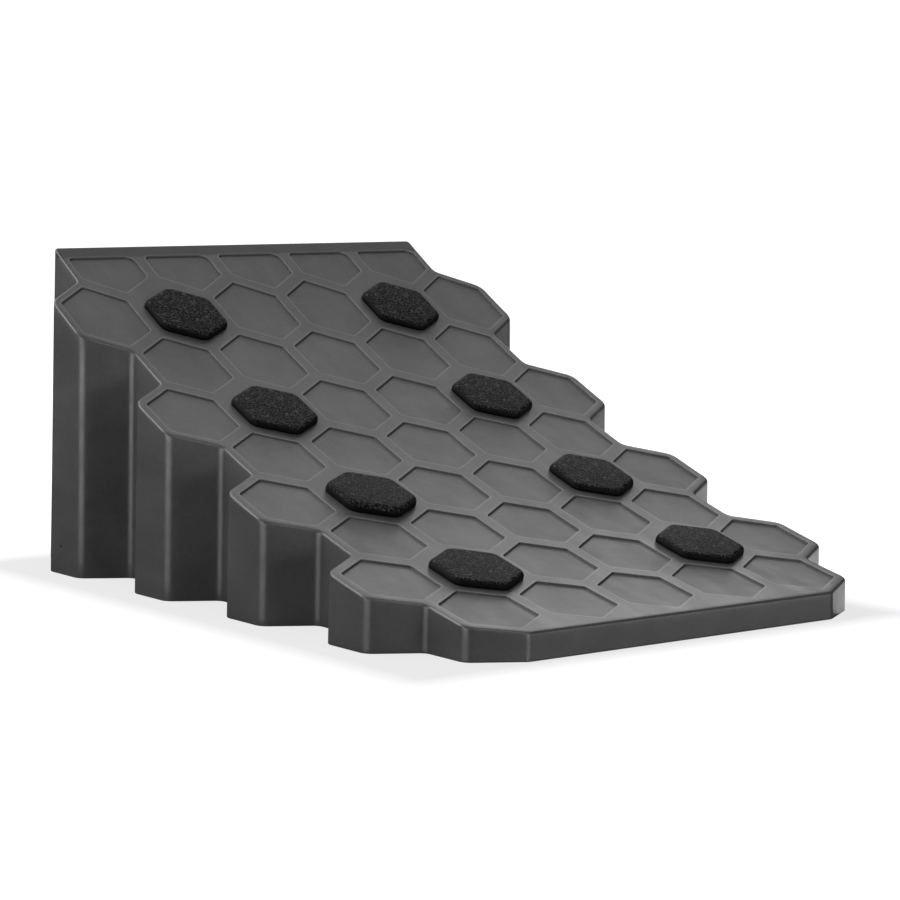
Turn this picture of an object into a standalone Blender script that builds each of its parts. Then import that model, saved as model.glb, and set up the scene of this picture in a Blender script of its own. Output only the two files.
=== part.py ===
"""Leveling ramp block for one wheel, with push-in rubber grip pads.

One open-bottomed moulded wedge carries eight hexagonal rubber pads.  Each pad
holds two nylon push-in clips, whose fins spring open under the deck.

Metres.  X runs across the block, +Y up the slope to the crest, +Z up.  The
origin is the middle of the footprint, on the ground.
"""
import math

import bmesh
import bpy
from mathutils import Matrix, Vector

# --- Hexagon lattice of the deck, regular in plan ---
CELL = 0.050                        # across the flats, and the pitch across the block
SIDE = CELL / math.sqrt(3)          # one side of a hexagon
ROW = 1.5 * SIDE                    # pitch of the rows, down the slope in plan
WIDE_ROW_CELLS = 6                  # rows 1, 3, 5 and 7 from the crest
NARROW_ROW_CELLS = 5                # rows 0, 2, 4, 6 and 8
LAST_ROW = 8

# --- Deck: one circular arc, its centre above the front of the block ---
DECK_RADIUS = 1.022
MID_RUN = 3.5 * CELL                # where the two values below are taken
MID_HEIGHT = 0.0742
MID_SLOPE = math.radians(22.5)
CREST_RUN = -0.0120                 # the crest, behind the middle of row 0

# --- Moulded walls ---
DRAFT = math.tan(math.radians(0.7))
FOOT_RIM = 0.00225                  # the foot stands this far outside the lattice
CONVEX_RADIUS = 0.0075
CONCAVE_RADIUS = 0.0055
CREST_CORNER_RADIUS = 0.0018
FILLET_STEPS = 4
WALL = 0.0040
DECK_WALL = 0.0045
BLANK_HEIGHT = 0.200                # the drafted blank, before the deck is cut
SPILL = 0.0040                      # cutters reach past what they cut by this much

# --- Shallow pockets in the deck ---
POCKET_INSET = 0.00383              # half the land between two pockets
POCKET_DEPTH = 0.0010
CREST_STRIP = 0.0085                # plain land between the crest and row 0's pockets

# --- Ribs under the deck ---
RIB = 0.0024
RIB_PITCH_X = 0.75 * CELL
RIB_PITCH_Y = SIDE
LONG_RIBS = (-3.5, -2.5, -1.5, -0.5, 0.5, 1.5, 2.5, 3.5)   # in pitches from the middle
CROSS_RIBS = (4, 8)                 # in pitches from the middle of row 0
DECK_CHORDS = range(0, 15)          # the faceted arc breaks at these, in the same pitches

# --- Rubber pads ---
PAD_ROWS = (1, 3, 5, 7)
PAD_X = 1.5 * CELL
PAD_DOWNHILL = 0.0025               # pads sit this far downhill of their cell's centre
PAD_FOOT = 0.0216                   # half the width across the flats
PAD_MIDDLE = 0.0211                 # the same, halfway up the rounded edge
PAD_TOP = 0.0199
PAD_RADIUS = 0.0072
PAD_SEAT = 0.0007                   # the flat underside clears the hollow of the deck
PAD_SHOULDER = 0.0021
PAD_HEIGHT = 0.0042
PAD_CORNER_STEPS = 3

# --- Push-in clips, two to a pad ---
CLIP_SPACING = 0.022
CLIP_FACETS = 12
CLIP_HEAD_RADIUS = 0.0060
CLIP_HEAD_LOW = 0.0017
CLIP_HEAD_HIGH = 0.0027
CLIP_SHANK_RADIUS = 0.0024
CLIP_FIN_RADIUS = 0.0040
CLIP_FIN_HEIGHT = 0.0026
CLIP_FINS = 2
CLIP_TIP_RADIUS = 0.0008
CLEARANCE = 0.0003
DECK_HOLE_RADIUS = 0.0029
DECK_HOLE_LENGTH = 0.018            # of the cutter, centred on the deck

FRONT_RUN = LAST_ROW * ROW + SIDE + FOOT_RIM


# ---------------------------------------------------------------- the deck's arc
def deck_centre():
    """Run and height of the arc's centre."""
    run = MID_RUN + DECK_RADIUS * math.sin(MID_SLOPE)
    height = MID_HEIGHT + DECK_RADIUS * math.cos(MID_SLOPE)
    return run, height


def deck_height(run, depth=0.0):
    """Height of the deck, or of the surface that lies depth under it."""
    centre_run, centre_height = deck_centre()
    return centre_height - math.sqrt((DECK_RADIUS + depth) ** 2 - (run - centre_run) ** 2)


def deck_slope(run):
    centre_run, _ = deck_centre()
    return math.asin((centre_run - run) / DECK_RADIUS)


# The back wall's draft carries the foot back past the crest.
BACK_RUN = CREST_RUN - DRAFT * deck_height(CREST_RUN)
Y_OF_ROW_0 = (FRONT_RUN + BACK_RUN) / 2


def on_deck(x, run):
    """Placement on the deck at a plan position: local Z is the deck's normal."""
    place = Vector((x, Y_OF_ROW_0 - run, deck_height(run)))
    return Matrix.Translation(place) @ Matrix.Rotation(deck_slope(run), 4, "X")


# ---------------------------------------------------------------- outlines
def lattice_corners():
    """Corners of the block in plan before its rim, anticlockwise from the crest."""
    wide = WIDE_ROW_CELLS / 2 * CELL
    narrow = NARROW_ROW_CELLS / 2 * CELL
    left = [(-narrow, BACK_RUN + FOOT_RIM)]
    for row in range(1, LAST_ROW, 2):
        middle = row * ROW
        left.append((-narrow, middle - SIDE))
        left.append((-wide, middle - SIDE / 2))
        left.append((-wide, middle + SIDE / 2))
        left.append((-narrow, middle + SIDE))
    left.append((-narrow, LAST_ROW * ROW + SIDE / 2))
    left.append((CELL / 2 - narrow, LAST_ROW * ROW + SIDE))
    right = [(-x, run) for x, run in reversed(left)]
    return [Vector((x, Y_OF_ROW_0 - run)) for x, run in left + right]


def offset_corners(corners, out):
    """Move every side of a closed outline out by the same distance."""
    moved = []
    for index, here in enumerate(corners):
        side_in = (here - corners[index - 1]).normalized()
        side_out = (corners[(index + 1) % len(corners)] - here).normalized()
        normal_in = Vector((side_in.y, -side_in.x))
        normal_out = Vector((side_out.y, -side_out.x))
        mitre = (normal_in + normal_out) / (1 + normal_in.dot(normal_out))
        moved.append(here + mitre * out)
    return moved


def wall_radii(corners):
    """Radii of the walls' corners, of which the first and the last are at the crest."""
    radii = []
    for index, here in enumerate(corners):
        side_in = here - corners[index - 1]
        side_out = corners[(index + 1) % len(corners)] - here
        if index in (0, len(corners) - 1):
            radii.append(CREST_CORNER_RADIUS)
        else:
            radii.append(CONVEX_RADIUS if side_in.cross(side_out) > 0 else CONCAVE_RADIUS)
    return radii


def round_corners(corners, radii, steps):
    """Replace every corner of a closed outline with an arc."""
    points = []
    for index, (here, radius) in enumerate(zip(corners, radii)):
        side_in = (here - corners[index - 1]).normalized()
        side_out = (corners[(index + 1) % len(corners)] - here).normalized()
        turn = math.atan2(side_in.cross(side_out), side_in.dot(side_out))
        setback = radius * math.tan(abs(turn) / 2)
        start = here - side_in * setback
        inward = Vector((-side_in.y, side_in.x)) * math.copysign(radius, turn)
        centre = start + inward
        for step in range(steps + 1):
            spoke = -inward
            spoke.rotate(Matrix.Rotation(turn * step / steps, 2))
            points.append(centre + spoke)
    return points


def hexagon(apothem):
    """A hexagon, anticlockwise, with two corners up and down the slope."""
    radius = apothem * 2 / math.sqrt(3)
    angles = [math.pi / 2 + index * math.pi / 3 for index in range(6)]
    return [Vector((radius * math.cos(angle), radius * math.sin(angle))) for angle in angles]


def cells(row):
    """Middles of a row's cells across the block."""
    count = WIDE_ROW_CELLS if row % 2 else NARROW_ROW_CELLS
    return [(index - (count - 1) / 2) * CELL for index in range(count)]


# ---------------------------------------------------------------- objects
def clear_scene():
    for thing in list(bpy.data.objects):
        bpy.data.objects.remove(thing, do_unlink=True)


def collection(name):
    group = bpy.data.collections.new(name)
    bpy.context.scene.collection.children.link(group)
    return group


def material(name, colour, roughness):
    made = bpy.data.materials.new(name)
    made.use_nodes = True
    shader = made.node_tree.nodes["Principled BSDF"]
    shader.inputs["Base Color"].default_value = (*colour, 1.0)
    shader.inputs["Roughness"].default_value = roughness
    shader.inputs["Metallic"].default_value = 0.0
    return made


def add_object(name, bm, group, finish=None):
    mesh = bpy.data.meshes.new(name)
    bmesh.ops.recalc_face_normals(bm, faces=bm.faces)
    bm.to_mesh(mesh)
    bm.free()
    made = bpy.data.objects.new(name, mesh)
    group.objects.link(made)
    if finish:
        mesh.materials.append(finish)
    else:
        made.hide_render = True
        made.display_type = "WIRE"
    return made


def stack(bm, loops):
    """A closed solid through loops of 3-D points that match point for point."""
    face = bm.faces.new([bm.verts.new(point) for point in loops[0]])
    for level, loop in enumerate(loops[1:]):
        extruded = bmesh.ops.extrude_face_region(bm, geom=[face])["geom"]
        if level:
            bmesh.ops.delete(bm, geom=[face], context="FACES_ONLY")
        face = next(part for part in extruded if isinstance(part, bmesh.types.BMFace))
        for vertex, point in zip(face.verts, loop):
            vertex.co = point


def cut(target, cutter, operation="DIFFERENCE"):
    modifier = target.modifiers.new(cutter.name, "BOOLEAN")
    modifier.operation = operation
    modifier.solver = "EXACT"
    modifier.object = cutter


def raised(outline, height):
    return [point.to_3d() + Vector((0, 0, height)) for point in outline]


# ---------------------------------------------------------------- the ramp body
def drafted_prism(bm, inset, foot, rounded):
    """The blank's outer or inner shape, from its foot to BLANK_HEIGHT."""
    loops = []
    for height in (foot, BLANK_HEIGHT):
        outline = offset_corners(lattice_corners(), FOOT_RIM - DRAFT * height - inset)
        if rounded:
            outline = round_corners(outline, wall_radii(outline), FILLET_STEPS)
        loops.append(raised(outline, height))
    stack(bm, loops)


def above_deck(name, depth, cutters):
    """Everything over the surface that lies depth under the deck."""
    runs = [BACK_RUN - SPILL] + [step * RIB_PITCH_Y for step in DECK_CHORDS]
    profile = [(Y_OF_ROW_0 - run, deck_height(run, depth)) for run in reversed(runs)]
    profile += [(profile[-1][0], BLANK_HEIGHT + SPILL), (profile[0][0], BLANK_HEIGHT + SPILL)]
    reach = WIDE_ROW_CELLS / 2 * CELL + FOOT_RIM + SPILL
    bm = bmesh.new()
    stack(bm, [[Vector((x, y, z)) for y, z in profile] for x in (-reach, reach)])
    return add_object(name, bm, cutters)


def pocket_outline(x, row):
    """Row 0's pockets stop at the plain strip along the crest."""
    corners = [Vector((x, Y_OF_ROW_0 - row * ROW)) + corner
               for corner in hexagon(CELL / 2 - POCKET_INSET)]
    if row:
        return corners
    top_y = Y_OF_ROW_0 - CREST_RUN - CREST_STRIP
    _, upper_left, lower_left, bottom, lower_right, upper_right = corners
    return [Vector((upper_right.x, top_y)), Vector((upper_left.x, top_y)),
            lower_left, bottom, lower_right]


def carries_pad(x, row):
    return row in PAD_ROWS and math.isclose(abs(x), PAD_X)


def pocket_cutter(cutters):
    bm = bmesh.new()
    for row in range(LAST_ROW + 1):
        for x in cells(row):
            if not carries_pad(x, row):
                outline = pocket_outline(x, row)
                stack(bm, [raised(outline, 0.0), raised(outline, BLANK_HEIGHT)])
    pockets = add_object("cut_pockets", bm, cutters)
    cut(pockets, above_deck("cut_pocket_floor", POCKET_DEPTH, cutters), "INTERSECT")
    return pockets


def hollow_cells():
    """Low and high corners in plan of the hollows that the ribs leave."""
    ribs_x = [step * RIB_PITCH_X for step in LONG_RIBS]
    edges_run = [-CELL] + [step * RIB_PITCH_Y for step in CROSS_RIBS] + [FRONT_RUN]
    spans = []
    for x_low, x_high in zip(ribs_x, ribs_x[1:]):
        for run_low, run_high in zip(edges_run, edges_run[1:]):
            spans.append((x_low, x_high, run_low, run_high))
    # Outside the outermost ribs only the wide rows have room for a hollow.
    edge = WIDE_ROW_CELLS / 2 * CELL
    for row in range(1, LAST_ROW, 2):
        run_low = row * ROW - SIDE / 2
        run_high = row * ROW + SIDE / 2
        spans.append((-edge, ribs_x[0], run_low, run_high))
        spans.append((ribs_x[-1], edge, run_low, run_high))
    for x_low, x_high, run_low, run_high in spans:
        yield ((x_low + RIB / 2, Y_OF_ROW_0 - run_high + RIB / 2),
               (x_high - RIB / 2, Y_OF_ROW_0 - run_low - RIB / 2))


def hollow_cutter(cutters):
    bm = bmesh.new()
    for (x_low, y_low), (x_high, y_high) in hollow_cells():
        outline = [Vector((x_low, y_low)), Vector((x_high, y_low)),
                   Vector((x_high, y_high)), Vector((x_low, y_high))]
        stack(bm, [raised(outline, -SPILL), raised(outline, BLANK_HEIGHT)])
    hollows = add_object("cut_hollows", bm, cutters)
    inner = bmesh.new()
    drafted_prism(inner, inset=WALL, foot=-2 * SPILL, rounded=False)
    cut(hollows, add_object("cut_inner_wall", inner, cutters), "INTERSECT")
    cut(hollows, above_deck("cut_underside", DECK_WALL, cutters))
    return hollows


def pad_places():
    """Every pad's row and side, and its middle in plan."""
    for row in PAD_ROWS:
        for side, x in (("left", -PAD_X), ("right", PAD_X)):
            yield row, side, x, row * ROW + PAD_DOWNHILL


def hole_cutter(cutters):
    bm = bmesh.new()
    for _, _, x, run in pad_places():
        for across in (-CLIP_SPACING / 2, CLIP_SPACING / 2):
            bmesh.ops.create_cone(bm, cap_ends=True, segments=CLIP_FACETS,
                                  depth=DECK_HOLE_LENGTH,
                                  radius1=DECK_HOLE_RADIUS, radius2=DECK_HOLE_RADIUS,
                                  matrix=on_deck(x, run) @ Matrix.Translation((across, 0, 0)))
    return add_object("cut_clip_holes", bm, cutters)


def make_body(group, cutters, finish):
    bm = bmesh.new()
    drafted_prism(bm, inset=0.0, foot=0.0, rounded=True)
    body = add_object("ramp_body", bm, group, finish)
    cut(body, above_deck("cut_deck", 0.0, cutters))
    cut(body, pocket_cutter(cutters))
    cut(body, hollow_cutter(cutters))
    cut(body, hole_cutter(cutters))
    return body


# ---------------------------------------------------------------- pads and clips
def turned(name, profile, group, finish=None):
    """A Screw modifier round local Z, on a profile from top to bottom at +X."""
    bm = bmesh.new()
    points = [bm.verts.new((radius, 0, height)) for radius, height in profile]
    for upper, lower in zip(points, points[1:]):
        bm.edges.new((upper, lower))
    made = add_object(name, bm, group, finish)
    screw = made.modifiers.new("turn", "SCREW")
    screw.axis = "Z"
    screw.steps = CLIP_FACETS
    screw.render_steps = CLIP_FACETS
    screw.use_merge_vertices = True
    screw.merge_threshold = 0.00001
    return made


def clip_profile():
    profile = [(0, CLIP_HEAD_HIGH), (CLIP_HEAD_RADIUS, CLIP_HEAD_HIGH),
               (CLIP_HEAD_RADIUS, CLIP_HEAD_LOW), (CLIP_SHANK_RADIUS, CLIP_HEAD_LOW)]
    height = -DECK_WALL - CLEARANCE
    for _ in range(CLIP_FINS):
        profile += [(CLIP_SHANK_RADIUS, height), (CLIP_FIN_RADIUS, height)]
        height -= CLIP_FIN_HEIGHT
    return profile + [(CLIP_TIP_RADIUS, height), (0, height)]


def socket_profile():
    """The clip's head and neck, with clearance, open at the pad's underside."""
    neck = CLIP_SHANK_RADIUS + CLEARANCE
    chamber = CLIP_HEAD_RADIUS + CLEARANCE
    ceiling = CLIP_HEAD_HIGH + CLEARANCE
    floor = CLIP_HEAD_LOW - CLEARANCE
    return [(0, ceiling), (chamber, ceiling), (chamber, floor), (neck, floor), (neck, 0), (0, 0)]


def make_pad(name, group, cutters, finish):
    levels = [(PAD_SEAT, PAD_FOOT), (PAD_SHOULDER, PAD_FOOT),
              ((PAD_SHOULDER + PAD_HEIGHT) / 2, PAD_MIDDLE), (PAD_HEIGHT, PAD_TOP)]
    bm = bmesh.new()
    loops = []
    for height, apothem in levels:
        radii = [PAD_RADIUS - (PAD_FOOT - apothem)] * 6
        outline = round_corners(hexagon(apothem), radii, PAD_CORNER_STEPS)
        loops.append(raised(outline, height))
    stack(bm, loops)
    pad = add_object(name, bm, group, finish)
    for across in (-CLIP_SPACING / 2, CLIP_SPACING / 2):
        socket = turned("cut_socket_" + name, socket_profile(), cutters)
        socket.location.x = across
        socket.parent = pad
        cut(pad, socket)
    return pad


def make_pads_and_clips(group, cutters, rubber, nylon):
    for row, side, x, run in pad_places():
        label = f"row{row}_{side}"
        station = bpy.data.objects.new("station_" + label, None)
        station.matrix_world = on_deck(x, run)
        group.objects.link(station)
        pad = make_pad("grip_pad_" + label, group, cutters, rubber)
        pad.parent = station
        for end, across in (("outer", math.copysign(CLIP_SPACING / 2, x)),
                            ("inner", -math.copysign(CLIP_SPACING / 2, x))):
            clip = turned(f"push_clip_{label}_{end}", clip_profile(), group, nylon)
            clip.location.x = across
            clip.parent = station


def main():
    clear_scene()
    group = collection("leveling_ramp_block")
    cutters = collection("cutters")
    plastic = material("charcoal_polypropylene", (0.105, 0.105, 0.107), 0.42)
    rubber = material("black_rubber", (0.018, 0.018, 0.018), 0.62)
    nylon = material("black_nylon", (0.030, 0.030, 0.032), 0.40)
    make_body(group, cutters, plastic)
    make_pads_and_clips(group, cutters, rubber, nylon)


main()
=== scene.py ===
"""Looks of a leveling ramp block: a moulded body, rubber grip pads and nylon push-in clips.

Metres, in the CAD frame: X across the block, +Y up the slope to the crest, +Z up.
"""
import math

import bmesh
import bpy
from mathutils import Matrix, Vector
from mathutils.kdtree import KDTree


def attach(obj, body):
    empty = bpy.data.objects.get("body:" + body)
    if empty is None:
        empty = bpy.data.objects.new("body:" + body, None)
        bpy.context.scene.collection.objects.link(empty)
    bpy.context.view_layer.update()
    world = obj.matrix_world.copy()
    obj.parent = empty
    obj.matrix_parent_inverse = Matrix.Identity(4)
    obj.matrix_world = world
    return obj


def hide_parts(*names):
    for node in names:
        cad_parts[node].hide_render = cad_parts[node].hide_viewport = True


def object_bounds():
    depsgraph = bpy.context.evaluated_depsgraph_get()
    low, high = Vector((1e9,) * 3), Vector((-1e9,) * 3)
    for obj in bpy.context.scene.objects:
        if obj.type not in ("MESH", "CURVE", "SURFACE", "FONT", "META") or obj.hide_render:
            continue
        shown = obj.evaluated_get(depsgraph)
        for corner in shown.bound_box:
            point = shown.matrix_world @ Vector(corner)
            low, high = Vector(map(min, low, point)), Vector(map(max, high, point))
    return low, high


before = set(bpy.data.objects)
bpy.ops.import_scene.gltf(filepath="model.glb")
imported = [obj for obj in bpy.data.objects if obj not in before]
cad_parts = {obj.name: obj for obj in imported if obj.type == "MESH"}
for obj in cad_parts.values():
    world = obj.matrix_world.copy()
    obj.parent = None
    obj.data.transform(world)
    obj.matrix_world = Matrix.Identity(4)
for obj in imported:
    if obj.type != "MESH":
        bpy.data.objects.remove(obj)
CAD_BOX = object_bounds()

# --- Driving dimensions, the same as the CAD's ---
CELL = 0.050                        # across the flats of a hexagon
SIDE = CELL / math.sqrt(3)
ROW = 1.5 * SIDE
WIDE_ROW_CELLS = 6
NARROW_ROW_CELLS = 5
LAST_ROW = 8
DECK_RADIUS = 1.022                 # the deck is one concave arc
MID_RUN = 3.5 * CELL
MID_HEIGHT = 0.0742
MID_SLOPE = math.radians(22.5)
CREST_RUN = -0.0120
DRAFT = math.tan(math.radians(0.7))
FOOT_RIM = 0.00225
CONVEX_RADIUS = 0.0075
CONCAVE_RADIUS = 0.0055
CREST_CORNER_RADIUS = 0.0018
WALL = 0.0040
DECK_WALL = 0.0045
POCKET_INSET = 0.00383
POCKET_DEPTH = 0.0010
CREST_STRIP = 0.0085
RIB = 0.0024
RIB_PITCH_X = 0.75 * CELL
RIB_PITCH_Y = SIDE
LONG_RIBS = (-3.5, -2.5, -1.5, -0.5, 0.5, 1.5, 2.5, 3.5)
CROSS_RIBS = (4, 8)
BLANK_HEIGHT = 0.200
PAD_ROWS = (1, 3, 5, 7)
PAD_X = 1.5 * CELL
PAD_SIDES = {"left": -PAD_X, "right": PAD_X}
PAD_DOWNHILL = 0.0025
PAD_FOOT = 0.0216
PAD_RADIUS = 0.0072
PAD_HEIGHT = 0.0042
PAD_ROUND = 0.0026                  # height of the pad's rounded top edge
PAD_SHOULDER = 0.0026               # width of it
PAD_CROWN = 0.0003
PAD_LEAN = 0.0001                   # the pad's side leans in by this much
PAD_FOOT_LOW = 0.0001               # the pad's foot starts this far above the deck
PAD_FOOT_HIGH = 0.0005              # and has its full width from here up
PROUD_PADS = {"row5_left": 0.0021}  # this pad stands prouder at its low left corner
CLIP_SPACING = 0.022
DECK_HOLE_RADIUS = 0.0029
CLIP_HEAD_RADIUS = 0.0060
CLIP_HEAD_LOW = 0.0017
CLIP_HEAD_HIGH = 0.0027
CLIP_SHANK_RADIUS = 0.0024
CLIP_FIN_RADIUS = 0.0040
CLIP_FIN_HEIGHT = 0.0026
CLIP_FINS = 2
CLIP_TIP_RADIUS = 0.0008
CLEARANCE = 0.0003

# --- Fine shape ---
STEPS = 14                          # intervals along one side of a cell
ARC = 4                             # of these, how many turn into the corner at each end
CORNER_SHARE = 0.10                 # the part of a sharp side that those take
TOP_EDGE = 0.00025                  # radius where the deck turns into a pocket
RIM_EDGE = 0.0012                   # radius where the deck turns into the outer wall
FLOOR_FILLET = 0.00015
POCKET_DRAFT = 0.0002               # a pocket's wall leans in by this much
POCKET_RADIUS = 0.0026
HIGHLIGHT_BAND = 0.0011                  # a band of painted highlight this wide runs round each pocket
STRIP_BLEND = 0.0003                # the painted shade on the crest strip fades out over twice this
CREST_CORNER_EXTRA = 0.0030         # row 0's pockets have one rounder corner under the crest
UNDERSIDE_CHORDS = 60
SHARP_ANGLE = math.radians(32)
EDGE_STEPS = 4
PAD_EDGE_STEPS = 8
FOOT_EDGE = 0.0005
RIM_LAND = 0.0016                   # the flat land of the outermost cells ends this far inside the lattice
HOLD = 0.0002                       # a loop this close to a rounded edge keeps the flat beside it flat
WELD = 0.00001
PIP_PLACE = (-0.1521, 0.1410, 0.0155)               # a small moulding mark
PIP_RADIUS = 0.0008
PIP_DEPTH = 0.0010
GRAIN_LOW = 0.0029                  # the pads' leather grain starts at this height
GRAIN_HIGH = 0.0037                 # and is full from here up
CLIP_SOFT = 0.0002
CLIP_TURNS = 40
CLIP_FIN_LIP = 1 / 3                # where a fin's lip ends, as a part of the fin's height
CLIP_FIN_ROOT = 0.85                # where the fin meets the shank
HOLE_TURNS = 24
PIP_TURNS = 20
PLAIN_SHARES = (0.97, 0.82, 0.6, 0.38, 0.18)        # sizes of the loops that fill a flat patch
FLOOR_SHARES = (0.9, 0.72, 0.5, 0.3, 0.13)
CROWN_SHARES = (0.97, 0.9, 0.8, 0.65, 0.5, 0.35, 0.2)
WALL_SHARES = (0.97, 0.75, 0.5, 0.25, 0.08)         # heights of the loops down a wall

# --- Looks: tones are linear grey, scales are in features to the metre, depths in metres ---
# Dark and light tone, roughness and ripple depth of each finish of the body.
BODY_FINISHES = {
    "charcoal_polypropylene": ((0.030, 0.030, 0.0305), (0.077, 0.077, 0.078), 0.36, 0.00006),
    "charcoal_polypropylene_pocket": ((0.030, 0.030, 0.0305), (0.083, 0.083, 0.084), 0.41, 0.00010),
    # painted highlight: a lighter tone on the band and the rounded top edge round each pocket
    "charcoal_polypropylene_painted_highlight": ((0.055, 0.055, 0.0555), (0.118, 0.118, 0.119), 0.34, 0.00004),
    # painted shade: a darker tone on each pocket's wall
    "charcoal_polypropylene_painted_shade": ((0.014, 0.014, 0.0142), (0.030, 0.030, 0.0305), 0.50, 0.00002)}
POCKET_FINISH, PAINTED_HIGHLIGHT_FINISH, PAINTED_SHADE_FINISH = 1, 2, 3   # places in BODY_FINISHES
NYLON_FINISH = ((0.024, 0.024, 0.026), (0.034, 0.034, 0.036), 0.38, 0.00003)
NOISE_REACH = (0.3, 0.7)            # the part of a noise pattern's range that the tone uses
CLOUD_SCALE = 34.0
CLOUD_STRETCH = (1.0, 0.45, 1.0)
CLOUD_SHARE = (0.40, 0.80)          # what the clouds give of the tone, from dark to light
FLECK_SCALE = 520.0
FLECK_SHARE = (0.0, 0.20)
SMEAR_SCALE = 95.0
SMEAR_STRETCH = (1.0, 0.3, 1.0)
SMEAR_DEPTH = 0.05                  # how far the smears move the roughness
RIPPLE_SCALE = 130.0
RIPPLE_STRETCH = (0.6, 1.0, 1.0)
MOULD_GRAIN_SCALE = 2600.0
FINE_GRAIN_DEPTH = 0.00001
RUBBER_DARK = (0.0030, 0.0030, 0.0030)
RUBBER_LIGHT = (0.066, 0.066, 0.066)
RUBBER_PLAIN = (0.006, 0.006, 0.006)
RUBBER_ROUGHNESS = 0.50
RUBBER_SPECULAR = 0.045
RIDGE_SCALE = 600.0
RIDGE_WIDTH = 0.075                 # a ridge ends where the pattern is this far from its middle
RIDGE_DEPTH = 0.00018
FOLD_SCALE = 160.0
FOLD_DEPTH = 0.00010
RUBBER_GRAIN_SCALE = 3000.0

# --- Studio and camera ---
WORLD_LEVEL = 0.02
BACKDROP_LEVEL = 1.2
FLOOR_SIZE = 2.4
FLOOR_TONE = (0.06, 0.06, 0.06)
PAINTED_SHADOW_GLOW = 0.77                    # the paper's glow under the block, dimmed there as a painted shadow
PAPER_GLOW = 1.30                   # and away from it
SHADOW_REACH = 0.050
SHADOW_SHIFT = (0.015, 0.002, 0.0)  # how far the shadow leans to the left and the front
CARD_LOW = (0.115, -0.190)          # two opposite corners of the reflector card
CARD_HIGH = (0.75, 0.55)
CARD_LIFT = 0.0004
CARD_TONE = (0.8, 0.8, 0.8)
CARD_GLOW = 0.85
WHITE = (1.0, 1.0, 1.0, 1.0)
AIM_HEIGHT = 0.08
SOFTBOX_DISTANCE = 2.2
# Azimuth from +X and elevation in degrees, width and height in metres, and radiance.
SOFTBOXES = ((0, 0, 0.9, 0.5, 0.8), (192, 0, 1.6, 0.5, 7.2),
             (270, 0, 0.9, 0.5, 10.2), (310, 0, 0.9, 0.5, 3.7),
             (45, 22, 0.9, 0.8, 2.1), (135, 22, 0.9, 0.8, 5.5), (180, 22, 0.9, 0.8, 3.5),
             (45, 48, 1.2, 1.2, 0.7), (90, 48, 1.2, 1.2, 2.6), (135, 48, 1.2, 1.2, 5.0),
             (270, 48, 1.2, 1.2, 2.6))
CAMERA_PLACE = (-0.931955, -1.179398, 0.25167)
CAMERA_AZIMUTH = math.radians(-38.501)
CAMERA_ELEVATION = math.radians(6.768)
CAMERA_ROLL = math.radians(0.822)
CAMERA_LENS = 112.51
SENSOR_WIDTH = 36.0

CAD_LOW, CAD_HIGH = (Vector(corner) for corner in CAD_BOX)
FRONT_RUN = LAST_ROW * ROW + SIDE + FOOT_RIM
Y_OF_ROW_0 = CAD_LOW[1] + FRONT_RUN


# ---------------------------------------------------------------- the deck's arc
def deck_height(run, depth=0.0):
    """Height of the deck, or of the surface that lies depth under it."""
    centre_run = MID_RUN + DECK_RADIUS * math.sin(MID_SLOPE)
    centre_height = MID_HEIGHT + DECK_RADIUS * math.cos(MID_SLOPE)
    return centre_height - math.sqrt((DECK_RADIUS + depth) ** 2 - (run - centre_run) ** 2)


def deck_slope(run):
    centre_run = MID_RUN + DECK_RADIUS * math.sin(MID_SLOPE)
    return math.asin((centre_run - run) / DECK_RADIUS)


BACK_RUN = CREST_RUN - DRAFT * deck_height(CREST_RUN)
CREST_LINE = BACK_RUN + FOOT_RIM    # where the lattice ends at the crest


def on_deck(x, run):
    """Placement on the deck at a plan position: local Z is the deck's normal."""
    place = Vector((x, Y_OF_ROW_0 - run, deck_height(run)))
    return Matrix.Translation(place) @ Matrix.Rotation(deck_slope(run), 4, "X")


# ---------------------------------------------------------------- outlines in plan
def hexagon(apothem):
    radius = apothem * 2 / math.sqrt(3)
    angles = [math.pi / 2 + index * math.pi / 3 for index in range(6)]
    return [Vector((radius * math.cos(angle), radius * math.sin(angle))) for angle in angles]


def cells(row):
    count = WIDE_ROW_CELLS if row % 2 else NARROW_ROW_CELLS
    return [(index - (count - 1) / 2) * CELL for index in range(count)]


def cell_corners(x, row, inset=0.0, top_run=CREST_LINE):
    """A hexagonal cell.  Row 0's cells are cut off square at the crest."""
    middle = Vector((x, Y_OF_ROW_0 - row * ROW))
    corners = [middle + corner for corner in hexagon(CELL / 2 - inset)]
    if row:
        return corners
    _, upper_left, lower_left, bottom, lower_right, upper_right = corners
    top_y = Y_OF_ROW_0 - top_run
    return [Vector((upper_left.x, top_y)), lower_left, bottom, lower_right,
            Vector((upper_right.x, top_y))]


def outline_corners():
    """Corners of the block in plan before its rim, anticlockwise from the crest's left end."""
    wide = WIDE_ROW_CELLS / 2 * CELL
    narrow = NARROW_ROW_CELLS / 2 * CELL
    left = [(-narrow, CREST_LINE)]
    for row in range(1, LAST_ROW, 2):
        middle = row * ROW
        left += [(-narrow, middle - SIDE), (-wide, middle - SIDE / 2),
                 (-wide, middle + SIDE / 2), (-narrow, middle + SIDE)]
    left.append((-narrow, LAST_ROW * ROW + SIDE / 2))
    front = [(x, LAST_ROW * ROW + SIDE) for x in cells(LAST_ROW)]
    right = [(-x, run) for x, run in reversed(left)]
    crest = [(x + CELL / 2, CREST_LINE) for x in reversed(cells(0)[:-1])]
    return [Vector((x, Y_OF_ROW_0 - run)) for x, run in left + front + right + crest]


def sides_at(corners, index):
    side_in = (corners[index] - corners[index - 1]).normalized()
    side_out = (corners[(index + 1) % len(corners)] - corners[index]).normalized()
    return side_in, side_out


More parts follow.
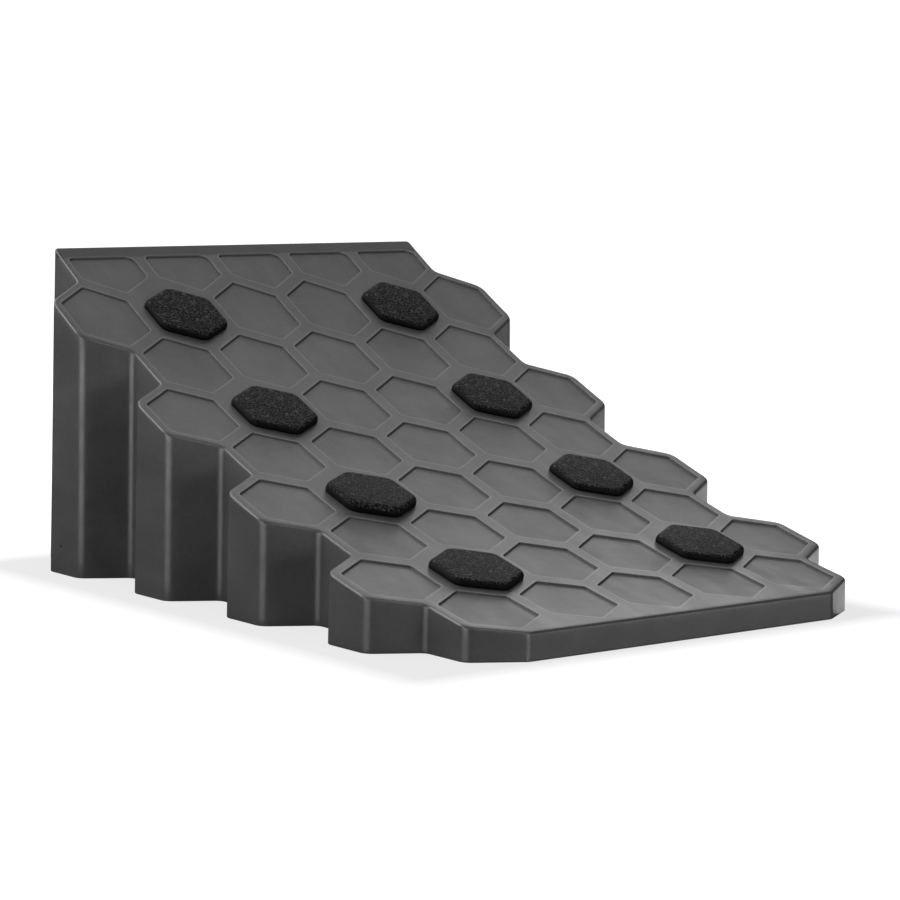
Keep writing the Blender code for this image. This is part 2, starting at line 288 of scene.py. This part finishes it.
def offset_corners(corners, out):
    """Move every side of a closed outline out by the same distance."""
    moved = []
    for index, here in enumerate(corners):
        side_in, side_out = sides_at(corners, index)
        normal_in = Vector((side_in.y, -side_in.x))
        normal_out = Vector((side_out.y, -side_out.x))
        moved.append(here + (normal_in + normal_out) / (1 + normal_in.dot(normal_out)) * out)
    return moved


def turn_at(corners, index):
    side_in, side_out = sides_at(corners, index)
    return math.atan2(side_in.cross(side_out), side_in.dot(side_out))


def corner_arc(corners, index, radius):
    """Points from ARC before a corner to ARC after it, keyed by step."""
    here = corners[index]
    side_in, side_out = sides_at(corners, index)
    turn = turn_at(corners, index)
    points = {}
    if radius == 0 or abs(turn) < 0.01:
        before = (here - corners[index - 1]).length * CORNER_SHARE / ARC
        after = (corners[(index + 1) % len(corners)] - here).length * CORNER_SHARE / ARC
        for step in range(-ARC, ARC + 1):
            points[step] = here + (side_out * after if step > 0 else side_in * before) * step
        return points
    start = here - side_in * radius * math.tan(abs(turn) / 2)
    inward = Vector((-side_in.y, side_in.x)) * math.copysign(radius, turn)
    for step in range(-ARC, ARC + 1):
        spoke = -inward
        spoke.rotate(Matrix.Rotation(turn * (step + ARC) / (2 * ARC), 2))
        points[step] = start + inward + spoke
    return points


def ring(corners, radii=None):
    """A closed outline with STEPS points to a side, its corners rounded by radii."""
    radii = radii or [0.0] * len(corners)
    arcs = [corner_arc(corners, index, radius) for index, radius in enumerate(radii)]
    points = []
    for index, arc in enumerate(arcs):
        after = arcs[(index + 1) % len(arcs)]
        for step in range(STEPS):
            if step <= ARC:
                points.append(arc[step])
            elif step >= STEPS - ARC:
                points.append(after[step - STEPS])
            else:
                points.append(arc[ARC].lerp(after[-ARC], (step - ARC) / (STEPS - 2 * ARC)))
    return points


# ---------------------------------------------------------------- mesh building
def quarter(steps):
    """Sines and cosines over a quarter turn, for rounded edges."""
    angles = [math.pi / 2 * step / steps for step in range(steps + 1)]
    return [(math.sin(angle), math.cos(angle)) for angle in angles]


def loop_of(bm, points):
    return [bm.verts.new(point) for point in points]


def bridge(bm, outer, inner, finish=0):
    """Quads between two loops that match point for point."""
    for index in range(len(outer)):
        after = (index + 1) % len(outer)
        face = bm.faces.new((outer[index], outer[after], inner[after], inner[index]))
        face.material_index = finish


def fan(bm, loop, centre, finish=0):
    middle = bm.verts.new(centre)
    for index in range(len(loop)):
        face = bm.faces.new((loop[index], loop[(index + 1) % len(loop)], middle))
        face.material_index = finish


def finish_mesh(name, bm):
    """A smooth-shaded object from a bmesh, linked into the scene."""
    bmesh.ops.recalc_face_normals(bm, faces=bm.faces)
    mesh = bpy.data.meshes.new(name)
    bm.to_mesh(mesh)
    bm.free()
    mesh.shade_smooth()
    made = bpy.data.objects.new(name, mesh)
    bpy.context.scene.collection.objects.link(made)
    return made


# ---------------------------------------------------------------- the ramp body
def on_deck_surface(points, depth=0.0):
    return [Vector((point.x, point.y, deck_height(Y_OF_ROW_0 - point.y) - depth))
            for point in points]


def outline_radii(corners):
    radii = []
    for index, corner in enumerate(corners):
        at_crest = abs(corner.y - Y_OF_ROW_0 + CREST_LINE) < WELD
        convex_radius = CREST_CORNER_RADIUS if at_crest else CONVEX_RADIUS
        radii.append(convex_radius if turn_at(corners, index) > 0 else CONCAVE_RADIUS)
    return radii


def land_edge():
    """A function that moves a point of the block's sharp outline in to where the flat land ends."""
    corners = outline_corners()
    sharp = ring(corners)
    land = ring(offset_corners(corners, -RIM_LAND), outline_radii(corners))
    tree = KDTree(len(sharp))
    for index, point in enumerate(sharp):
        tree.insert(point.to_3d(), index)
    tree.balance()

    def moved(point):
        _, index, distance = tree.find(point.to_3d())
        return land[index] if distance < WELD else point
    return moved


def patch_inside(bm, outer, points, depth, shares, finish=0):
    """Fill a ring with smaller copies of itself and a middle point."""
    centre = sum(points, Vector((0, 0))) / len(points)
    for share in shares:
        inner = loop_of(bm, on_deck_surface([centre.lerp(point, share) for point in points], depth))
        bridge(bm, outer, inner, finish)
        outer = inner
    fan(bm, outer, on_deck_surface([centre], depth)[0], finish)


def plain_patch(bm, corners, moved):
    points = [moved(point) for point in ring(corners)]
    patch_inside(bm, loop_of(bm, on_deck_surface(points)), points, 0.0, PLAIN_SHARES)


def pocket_profile():
    """Distance in from the lattice, depth and finish, from the deck down to the pocket's floor."""
    # painted highlight: the band and the rounded top edge take the lighter finish
    profile = [(POCKET_INSET - HIGHLIGHT_BAND, 0.0, 0),
               (POCKET_INSET - TOP_EDGE - HOLD, 0.0, PAINTED_HIGHLIGHT_FINISH)]
    for sine, cosine in quarter(EDGE_STEPS):
        profile.append((POCKET_INSET - TOP_EDGE * (1 - sine), TOP_EDGE * (1 - cosine), PAINTED_HIGHLIGHT_FINISH))
    # painted shade: the wall and the fillet at its foot take the darker finish
    for sine, cosine in quarter(EDGE_STEPS):
        profile.append((POCKET_INSET + POCKET_DRAFT + FLOOR_FILLET * (1 - cosine),
                        POCKET_DEPTH - FLOOR_FILLET * (1 - sine), PAINTED_SHADE_FINISH))
    profile.append((POCKET_INSET + POCKET_DRAFT + FLOOR_FILLET + HOLD, POCKET_DEPTH, POCKET_FINISH))
    return profile


def pocket_patch(bm, x, row, moved):
    outer = loop_of(bm, on_deck_surface([moved(point) for point in ring(cell_corners(x, row))]))
    for inset, depth, finish in pocket_profile():
        corners = cell_corners(x, row, inset, CREST_RUN + CREST_STRIP + inset - POCKET_INSET)
        radii = [POCKET_RADIUS + POCKET_INSET - inset] * len(corners)
        if row == 0:
            radii[-1] += CREST_CORNER_EXTRA
        points = ring(corners, radii)
        inner = loop_of(bm, on_deck_surface(points, depth))
        bridge(bm, outer, inner, finish)
        outer = inner
    patch_inside(bm, outer, points, POCKET_DEPTH, FLOOR_SHARES, POCKET_FINISH)


def front_gap(x):
    """The plain triangle between two cells of the last row and the front edge."""
    low = Y_OF_ROW_0 - LAST_ROW * ROW - SIDE
    return [Vector((x + CELL / 2, low + SIDE / 2)), Vector((x, low)), Vector((x + CELL, low))]


def wall_loops():
    """Loops of 3-D points from the edge of the land over the rounded rim and down to the foot."""
    corners = outline_corners()
    radii = outline_radii(corners)
    lattice = ring(corners, radii)
    grown = ring(offset_corners(corners, FOOT_RIM), radii)
    directions = [(far - near) / FOOT_RIM for near, far in zip(lattice, grown)]
    tops = [deck_height(Y_OF_ROW_0 - point.y) for point in lattice]

    def place(index, out, height=None, drop=0.0):
        point = lattice[index] + directions[index] * out
        if height is None:
            height = deck_height(Y_OF_ROW_0 - point.y) - drop
        return Vector((point.x, point.y, height))

    numbers = range(len(lattice))
    walls = [FOOT_RIM - DRAFT * top for top in tops]
    loops = [[place(index, -RIM_LAND) for index in numbers]]
    for sine, cosine in quarter(EDGE_STEPS):
        loops.append([place(index, walls[index] - RIM_EDGE * (1 - sine), None, RIM_EDGE * (1 - cosine))
                      for index in numbers])
    bottoms = [point.z for point in loops[-1]]
    for share in WALL_SHARES:
        loops.append([place(index, FOOT_RIM - DRAFT * bottoms[index] * share, bottoms[index] * share)
                      for index in numbers])
    for sine, cosine in quarter(EDGE_STEPS):
        height = FOOT_EDGE * (1 - sine)
        out = FOOT_RIM - DRAFT * height - FOOT_EDGE * (1 - cosine)
        loops.append([place(index, out, height) for index in numbers])
    return loops


def outer_shell():
    """The closed outer shape, with its pockets, over a flat bottom."""
    bm = bmesh.new()
    moved = land_edge()
    for row in range(LAST_ROW + 1):
        for x in cells(row):
            if row in PAD_ROWS and math.isclose(abs(x), PAD_X):
                plain_patch(bm, cell_corners(x, row), moved)
            else:
                pocket_patch(bm, x, row, moved)
    for x in cells(LAST_ROW)[:-1]:
        plain_patch(bm, front_gap(x), moved)
    outer = None
    for points in wall_loops():
        inner = loop_of(bm, points)
        if outer:
            bridge(bm, inner, outer)
        outer = inner
    bm.faces.new(outer)
    bmesh.ops.remove_doubles(bm, verts=bm.verts, dist=WELD)
    return finish_mesh("moulded_ramp_body", bm)


def prism(bm, low, high):
    """A closed solid between two outlines that match point for point."""
    bottom = loop_of(bm, low)
    top = loop_of(bm, high)
    bridge(bm, bottom, top)
    bm.faces.new(list(reversed(bottom)))
    bm.faces.new(top)


def at_height(points, height):
    return [Vector((point.x, point.y, height)) for point in points]


def cut(target, cutter, operation="DIFFERENCE"):
    """Apply a Boolean to a mesh object and remove its cutter."""
    modifier = target.modifiers.new("cut", "BOOLEAN")
    modifier.operation = operation
    modifier.solver = "EXACT"
    modifier.object = cutter
    graph = bpy.context.evaluated_depsgraph_get()
    made = bpy.data.meshes.new_from_object(target.evaluated_get(graph))
    target.modifiers.clear()
    target.data = made
    bpy.data.objects.remove(cutter, do_unlink=True)


def hollow_cells():
    """Low and high corners in plan of the hollows that the ribs leave."""
    ribs_x = [step * RIB_PITCH_X for step in LONG_RIBS]
    edges_run = [-CELL] + [step * RIB_PITCH_Y for step in CROSS_RIBS] + [FRONT_RUN]
    spans = []
    for x_low, x_high in zip(ribs_x, ribs_x[1:]):
        for run_low, run_high in zip(edges_run, edges_run[1:]):
            spans.append((x_low, x_high, run_low, run_high))
    # Outside the outermost ribs only the wide rows have room for a hollow.
    edge = WIDE_ROW_CELLS / 2 * CELL
    for row in range(1, LAST_ROW, 2):
        run_low = row * ROW - SIDE / 2
        run_high = row * ROW + SIDE / 2
        spans.append((-edge, ribs_x[0], run_low, run_high))
        spans.append((ribs_x[-1], edge, run_low, run_high))
    for x_low, x_high, run_low, run_high in spans:
        yield (x_low + RIB / 2, x_high - RIB / 2,
               Y_OF_ROW_0 - run_high + RIB / 2, Y_OF_ROW_0 - run_low - RIB / 2)


def hollow_cutter():
    cells_mesh = bmesh.new()
    for x_low, x_high, y_low, y_high in hollow_cells():
        outline = [Vector(corner) for corner in
                   ((x_low, y_low), (x_high, y_low), (x_high, y_high), (x_low, y_high))]
        prism(cells_mesh, at_height(outline, -WALL), at_height(outline, BLANK_HEIGHT))
    hollows = finish_mesh("hollows", cells_mesh)
    inner = bmesh.new()
    low, high = -2 * WALL, BLANK_HEIGHT + WALL
    prism(inner, at_height(offset_corners(outline_corners(), FOOT_RIM - DRAFT * low - WALL), low),
          at_height(offset_corners(outline_corners(), FOOT_RIM - DRAFT * high - WALL), high))
    cut(hollows, finish_mesh("inner_wall", inner), "INTERSECT")
    above = bmesh.new()
    runs = [BACK_RUN - WALL + (FRONT_RUN + 2 * WALL - BACK_RUN) * step / UNDERSIDE_CHORDS
            for step in range(UNDERSIDE_CHORDS + 1)]
    profile = [(Y_OF_ROW_0 - run, deck_height(run, DECK_WALL)) for run in reversed(runs)]
    profile += [(profile[-1][0], BLANK_HEIGHT + 2 * WALL), (profile[0][0], BLANK_HEIGHT + 2 * WALL)]
    reach = CELL * WIDE_ROW_CELLS
    prism(above, [Vector((-reach, y, z)) for y, z in profile], [Vector((reach, y, z)) for y, z in profile])
    cut(hollows, finish_mesh("above_underside", above))
    return hollows


def clip_hole_cutter():
    bm = bmesh.new()
    for row in PAD_ROWS:
        for x in (-PAD_X, PAD_X):
            for across in (-CLIP_SPACING / 2, CLIP_SPACING / 2):
                bmesh.ops.create_cone(bm, cap_ends=True, segments=HOLE_TURNS, depth=4 * DECK_WALL,
                                      radius1=DECK_HOLE_RADIUS, radius2=DECK_HOLE_RADIUS,
                                      matrix=on_deck(x, row * ROW + PAD_DOWNHILL)
                                      @ Matrix.Translation((across, 0, 0)))
    return finish_mesh("clip_holes", bm)


def pip_cutter():
    """A small round moulding mark low on the back left column."""
    bm = bmesh.new()
    place = Matrix.Translation(PIP_PLACE) @ Matrix.Rotation(math.pi / 2, 4, "Y")
    bmesh.ops.create_cone(bm, cap_ends=True, segments=PIP_TURNS, depth=PIP_DEPTH,
                          radius1=PIP_RADIUS, radius2=PIP_RADIUS, matrix=place)
    return finish_mesh("pip", bm)


def make_body(finishes):
    body = outer_shell()
    for finish in finishes:
        body.data.materials.append(finish)
    cut(body, hollow_cutter())
    cut(body, clip_hole_cutter())
    cut(body, pip_cutter())
    body.data.set_sharp_from_angle(angle=SHARP_ANGLE)
    return body


# ---------------------------------------------------------------- pads
def pad_levels():
    """Height above the deck and half width of the pad's side, from its foot to its top."""
    levels = [(PAD_FOOT_LOW, PAD_FOOT - 3 * PAD_LEAN), (2 * PAD_FOOT_LOW, PAD_FOOT - PAD_LEAN),
              (PAD_FOOT_HIGH, PAD_FOOT), (PAD_HEIGHT - PAD_ROUND, PAD_FOOT - PAD_LEAN)]
    for sine, cosine in quarter(PAD_EDGE_STEPS)[1:]:
        levels.append((PAD_HEIGHT - PAD_CROWN - PAD_ROUND * (1 - sine),
                       PAD_FOOT - PAD_LEAN - PAD_SHOULDER * (1 - cosine)))
    return levels


def make_pad(row, side):
    label = f"row{row}_{side}"
    bm = bmesh.new()
    outer = None
    bottom = None
    for height, apothem in pad_levels():
        radius = PAD_RADIUS - (PAD_FOOT - apothem)
        points = ring(hexagon(apothem), [radius] * 6)
        loop = loop_of(bm, at_height(points, height))
        if outer:
            bridge(bm, outer, loop)
        else:
            bottom = loop
        outer = loop
    for share in CROWN_SHARES:
        height = PAD_HEIGHT - PAD_CROWN * share ** 2
        loop = loop_of(bm, at_height([point * share for point in points], height))
        bridge(bm, outer, loop)
        outer = loop
    fan(bm, outer, Vector((0, 0, PAD_HEIGHT)))
    bm.faces.new(list(reversed(bottom)))
    lift = PROUD_PADS.get(label, 0.0)
    for vertex in bm.verts:
        sag = DECK_RADIUS - math.sqrt(DECK_RADIUS ** 2 - vertex.co.y ** 2)
        toward_low_corner = (-vertex.co.x - vertex.co.y * math.sqrt(3)) / (4 * PAD_FOOT) + 0.5
        rise = lift * toward_low_corner * vertex.co.z / PAD_HEIGHT
        vertex.co.z += sag * (1 - vertex.co.z / PAD_HEIGHT) + rise
    pad = finish_mesh("rubber_grip_" + label, bm)
    pad.data.set_sharp_from_angle(angle=SHARP_ANGLE)
    pad.matrix_world = on_deck(PAD_SIDES[side], row * ROW + PAD_DOWNHILL)
    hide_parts("grip_pad_" + label)
    return pad


# ---------------------------------------------------------------- clips
def clip_profile():
    """Radius and height down the clip, with soft edges to its head and its sprung fins."""
    profile = [(CLIP_HEAD_RADIUS - CLIP_SOFT, CLIP_HEAD_HIGH),
               (CLIP_HEAD_RADIUS, CLIP_HEAD_HIGH - CLIP_SOFT),
               (CLIP_HEAD_RADIUS, CLIP_HEAD_LOW + CLIP_SOFT),
               (CLIP_HEAD_RADIUS - CLIP_SOFT, CLIP_HEAD_LOW),
               (CLIP_SHANK_RADIUS + CLIP_SOFT, CLIP_HEAD_LOW),
               (CLIP_SHANK_RADIUS, CLIP_HEAD_LOW - CLIP_SOFT)]
    height = -DECK_WALL - CLEARANCE
    for _ in range(CLIP_FINS):
        profile += [(CLIP_SHANK_RADIUS, height), (CLIP_FIN_RADIUS - CLIP_SOFT, height),
                    (CLIP_FIN_RADIUS, height - CLIP_SOFT),
                    (CLIP_FIN_RADIUS - 2 * CLIP_SOFT, height - CLIP_FIN_HEIGHT * CLIP_FIN_LIP),
                    (CLIP_SHANK_RADIUS + CLIP_SOFT, height - CLIP_FIN_HEIGHT * CLIP_FIN_ROOT)]
        height -= CLIP_FIN_HEIGHT
    return profile + [(CLIP_TIP_RADIUS + CLIP_SOFT, height + CLIP_SOFT), (CLIP_TIP_RADIUS, height)]


def make_clip(row, side, end, across):
    """A push-in clip, turned round its own axis."""
    bm = bmesh.new()
    outer = None
    for radius, height in clip_profile():
        angles = [2 * math.pi * step / CLIP_TURNS for step in range(CLIP_TURNS)]
        loop = loop_of(bm, [Vector((radius * math.cos(angle), radius * math.sin(angle), height))
                            for angle in angles])
        if outer:
            bridge(bm, outer, loop)
        else:
            bm.faces.new(loop)
        outer = loop
    bm.faces.new(outer)
    clip = finish_mesh(f"nylon_clip_row{row}_{side}_{end}", bm)
    clip.data.set_sharp_from_angle(angle=SHARP_ANGLE)
    place = on_deck(PAD_SIDES[side], row * ROW + PAD_DOWNHILL)
    clip.matrix_world = place @ Matrix.Translation((across, 0, 0))
    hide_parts(f"push_clip_row{row}_{side}_{end}")
    return clip


# ---------------------------------------------------------------- materials
def principled(name, colour, roughness, specular=0.5):
    made = bpy.data.materials.new(name)
    made.use_nodes = True
    shader = made.node_tree.nodes["Principled BSDF"]
    shader.inputs["Base Color"].default_value = (*colour, 1.0)
    shader.inputs["Roughness"].default_value = roughness
    shader.inputs["Specular IOR Level"].default_value = specular
    return made


def noise(tree, scale, stretch=(1.0, 1.0, 1.0), detail=2.0, distortion=0.0):
    """A noise pattern in the object's own space, scale in features to the metre."""
    place = tree.nodes.new("ShaderNodeTexCoord")
    mapping = tree.nodes.new("ShaderNodeMapping")
    mapping.inputs["Scale"].default_value = stretch
    tree.links.new(place.outputs["Object"], mapping.inputs["Vector"])
    pattern = tree.nodes.new("ShaderNodeTexNoise")
    pattern.inputs["Scale"].default_value = scale
    pattern.inputs["Detail"].default_value = detail
    pattern.inputs["Distortion"].default_value = distortion
    tree.links.new(mapping.outputs["Vector"], pattern.inputs["Vector"])
    return pattern.outputs["Fac"]


def between(tree, value, low, high, start=0.25, end=0.75):
    """The value's start to end, spread over low to high."""
    spread = tree.nodes.new("ShaderNodeMapRange")
    spread.inputs["From Min"].default_value = start
    spread.inputs["From Max"].default_value = end
    spread.inputs["To Min"].default_value = low
    spread.inputs["To Max"].default_value = high
    tree.links.new(value, spread.inputs["Value"])
    return spread.outputs["Result"]


def tint(tree, value, dark, light):
    """A grey between two levels, driven by a pattern, into the shader's base colour."""
    ramp = tree.nodes.new("ShaderNodeValToRGB")
    ramp.color_ramp.elements[0].color = (*dark, 1.0)
    ramp.color_ramp.elements[1].color = (*light, 1.0)
    tree.links.new(value, ramp.inputs["Fac"])
    tree.links.new(ramp.outputs["Color"], tree.nodes["Principled BSDF"].inputs["Base Color"])


def worked_out(tree, operation, *values):
    """One step of arithmetic over sockets and plain numbers."""
    step = tree.nodes.new("ShaderNodeMath")
    step.operation = operation
    for place, value in zip(step.inputs, values):
        if isinstance(value, float):
            place.default_value = value
        else:
            tree.links.new(value, place)
    return step.outputs["Value"]


def relief(tree, heights):
    """Bumps of several patterns and depths, one over the other, into the shader's normal."""
    normal = None
    for pattern, depth in heights:
        bump = tree.nodes.new("ShaderNodeBump")
        bump.inputs["Distance"].default_value = depth
        tree.links.new(pattern, bump.inputs["Height"])
        if normal:
            tree.links.new(normal, bump.inputs["Normal"])
        normal = bump.outputs["Normal"]
    tree.links.new(normal, tree.nodes["Principled BSDF"].inputs["Normal"])


def in_object(tree, axis):
    """The place along one of the object's own axes."""
    place = tree.nodes.new("ShaderNodeTexCoord")
    split = tree.nodes.new("ShaderNodeSeparateXYZ")
    tree.links.new(place.outputs["Object"], split.inputs["Vector"])
    return split.outputs[axis]


def on_shaded_crest_strip(tree):
    """1 on the plain strip of deck along the crest, where shade is painted, 0 elsewhere and on the back
    wall.
    """
    strip = deck_height(CREST_RUN + CREST_STRIP)
    rim = Y_OF_ROW_0 - CREST_RUN - RIM_EDGE
    above = between(tree, in_object(tree, "Z"), 0.0, 1.0, strip - STRIP_BLEND, strip + STRIP_BLEND)
    ahead = between(tree, in_object(tree, "Y"), 1.0, 0.0, rim - STRIP_BLEND, rim + STRIP_BLEND)
    return worked_out(tree, "MULTIPLY", above, ahead)


def moulded_plastic(name, dark, light, roughness, ripple):
    """Satin plastic with cloudy tone, flow ripples and the fine grain of the mould."""
    made = principled(name, light, roughness)
    tree = made.node_tree
    clouds = noise(tree, CLOUD_SCALE, CLOUD_STRETCH, 4.0, 0.6)
    flecks = noise(tree, FLECK_SCALE, detail=3.0)
    tone = worked_out(tree, "ADD", between(tree, clouds, *CLOUD_SHARE, *NOISE_REACH),
                      between(tree, flecks, *FLECK_SHARE, *NOISE_REACH))
    # painted shade: the strip along the crest takes only the dark tone
    off_shaded_strip = between(tree, on_shaded_crest_strip(tree), 1.0, 0.0, 0.0, 1.0)
    tint(tree, worked_out(tree, "MULTIPLY", tone, off_shaded_strip), dark, light)
    smears = noise(tree, SMEAR_SCALE, SMEAR_STRETCH, 3.0)
    tree.links.new(between(tree, smears, roughness - SMEAR_DEPTH, roughness + SMEAR_DEPTH),
                   tree.nodes["Principled BSDF"].inputs["Roughness"])
    ripples = noise(tree, RIPPLE_SCALE, RIPPLE_STRETCH, 2.0, 0.4)
    grain = noise(tree, MOULD_GRAIN_SCALE, detail=1.0)
    relief(tree, ((ripples, ripple), (grain, FINE_GRAIN_DEPTH)))
    return made


def wandering_ridges(tree, scale, width):
    """Thin ridges along the lines where a noise pattern crosses its middle."""
    pattern = noise(tree, scale, detail=0.0, distortion=0.4)
    distance = worked_out(tree, "ABSOLUTE", worked_out(tree, "SUBTRACT", pattern, 0.5))
    return between(tree, distance, 1.0, 0.0, 0.0, width)


def leather_rubber():
    """Matt black rubber whose top has a raised leather grain of short wandering ridges."""
    made = principled("black_rubber", RUBBER_PLAIN, RUBBER_ROUGHNESS, RUBBER_SPECULAR)
    tree = made.node_tree
    on_top = between(tree, in_object(tree, "Z"), 0.0, 1.0, GRAIN_LOW, GRAIN_HIGH)
    ridges = worked_out(tree, "MULTIPLY", wandering_ridges(tree, RIDGE_SCALE, RIDGE_WIDTH), on_top)
    tint(tree, ridges, RUBBER_DARK, RUBBER_LIGHT)
    folds = noise(tree, FOLD_SCALE, detail=1.0)
    grain = noise(tree, RUBBER_GRAIN_SCALE, detail=1.0)
    relief(tree, ((folds, FOLD_DEPTH), (ridges, RIDGE_DEPTH), (grain, FINE_GRAIN_DEPTH)))
    return made


# ---------------------------------------------------------------- stage
def stage_floor():
    """White paper that glows, a little less under the block and close round its foot, as a painted shadow.
    """
    bpy.ops.mesh.primitive_plane_add(size=FLOOR_SIZE)
    floor = bpy.context.object
    floor.name = "floor"
    paper = principled("white_floor", FLOOR_TONE, 1.0, 0.0)
    tree = paper.node_tree
    tree.nodes["Principled BSDF"].inputs["Emission Color"].default_value = WHITE
    place = tree.nodes.new("ShaderNodeTexCoord")
    vector = place.outputs["Object"]
    half = (CAD_HIGH - CAD_LOW) / 2
    for operation, operand in (("ADD", SHADOW_SHIFT), ("ABSOLUTE", None),
                               ("SUBTRACT", (half.x, half.y, 0.0)), ("MAXIMUM", (0.0, 0.0, 0.0))):
        step = tree.nodes.new("ShaderNodeVectorMath")
        step.operation = operation
        tree.links.new(vector, step.inputs[0])
        if operand:
            step.inputs[1].default_value = operand
        vector = step.outputs["Vector"]
    away = tree.nodes.new("ShaderNodeVectorMath")
    away.operation = "LENGTH"
    tree.links.new(vector, away.inputs[0])
    # painted shadow: the glow drops towards the block's foot
    glow = between(tree, away.outputs["Value"], PAINTED_SHADOW_GLOW, PAPER_GLOW, 0.0, SHADOW_REACH)
    tree.links.new(glow, tree.nodes["Principled BSDF"].inputs["Emission Strength"])
    floor.data.materials.append(paper)
    floor.visible_diffuse = False
    floor.visible_glossy = False


def reflector_card():
    """A white card flat on the paper at the right, seen only as a reflection."""
    low, high = Vector(CARD_LOW), Vector(CARD_HIGH)
    bpy.ops.mesh.primitive_plane_add(size=1.0, location=(*(low + high) / 2, CARD_LIFT))
    card = bpy.context.object
    card.name = "reflector_card"
    card.scale = (*(high - low), 1.0)
    glowing = principled("white_card", CARD_TONE, 1.0, 0.0)
    shader = glowing.node_tree.nodes["Principled BSDF"]
    shader.inputs["Emission Color"].default_value = WHITE
    shader.inputs["Emission Strength"].default_value = CARD_GLOW
    card.data.materials.append(glowing)
    card.visible_camera = False
    card.visible_diffuse = False
    card.visible_shadow = False


def softbox(azimuth, elevation, width, height, radiance):
    """A rectangular light aimed at the block, as bright as radiance says."""
    light = bpy.data.lights.new(f"softbox_{azimuth}_{elevation}", "AREA")
    light.shape = "RECTANGLE"
    light.size = width
    light.size_y = height
    light.energy = radiance * math.pi * width * height
    lamp = bpy.data.objects.new(light.name, light)
    level = math.cos(math.radians(elevation))
    away = Vector((level * math.cos(math.radians(azimuth)), level * math.sin(math.radians(azimuth)),
                   math.sin(math.radians(elevation))))
    lamp.location = Vector((0, 0, AIM_HEIGHT)) + away * SOFTBOX_DISTANCE
    lamp.rotation_euler = away.to_track_quat("Z", "Y").to_euler()
    bpy.context.scene.collection.objects.link(lamp)


def studio():
    """Softboxes round the block in front of a white backdrop that only the camera sees."""
    stage_floor()
    reflector_card()
    world = bpy.data.worlds.new("studio")
    bpy.context.scene.world = world
    world.use_nodes = True
    nodes = world.node_tree.nodes
    links = world.node_tree.links
    dim = nodes["Background"]
    dim.inputs["Color"].default_value = WHITE
    dim.inputs["Strength"].default_value = WORLD_LEVEL
    bright = nodes.new("ShaderNodeBackground")
    bright.inputs["Color"].default_value = WHITE
    bright.inputs["Strength"].default_value = BACKDROP_LEVEL
    rays = nodes.new("ShaderNodeLightPath")
    mix = nodes.new("ShaderNodeMixShader")
    links.new(rays.outputs["Is Camera Ray"], mix.inputs["Fac"])
    links.new(dim.outputs["Background"], mix.inputs[1])
    links.new(bright.outputs["Background"], mix.inputs[2])
    links.new(mix.outputs["Shader"], nodes["World Output"].inputs["Surface"])
    for place_and_size in SOFTBOXES:
        softbox(*place_and_size)


def camera():
    data = bpy.data.cameras.new("camera")
    data.sensor_width = SENSOR_WIDTH
    data.lens = CAMERA_LENS
    made = bpy.data.objects.new("camera", data)
    turn = Matrix.Rotation(CAMERA_AZIMUTH, 4, "Z")
    tilt = Matrix.Rotation(math.pi / 2 - CAMERA_ELEVATION, 4, "X")
    roll = Matrix.Rotation(CAMERA_ROLL, 4, "Z")
    made.matrix_world = Matrix.Translation(CAMERA_PLACE) @ turn @ tilt @ roll
    bpy.context.scene.collection.objects.link(made)
    bpy.context.scene.camera = made


def main():
    bpy.context.scene.view_settings.view_transform = "Standard"
    camera()
    studio()
    finishes = [moulded_plastic(name, *look) for name, look in BODY_FINISHES.items()]
    rubber = leather_rubber()
    nylon = moulded_plastic("black_nylon", *NYLON_FINISH)
    body = make_body(finishes)
    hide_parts("ramp_body")
    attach(body, "root")
    for row in PAD_ROWS:
        for side in PAD_SIDES:
            pad = make_pad(row, side)
            pad.data.materials.append(rubber)
            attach(pad, "root")
            for end, across in (("outer", math.copysign(CLIP_SPACING / 2, PAD_SIDES[side])),
                                ("inner", -math.copysign(CLIP_SPACING / 2, PAD_SIDES[side]))):
                clip = make_clip(row, side, end, across)
                clip.data.materials.append(nylon)
                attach(clip, "root")


main()
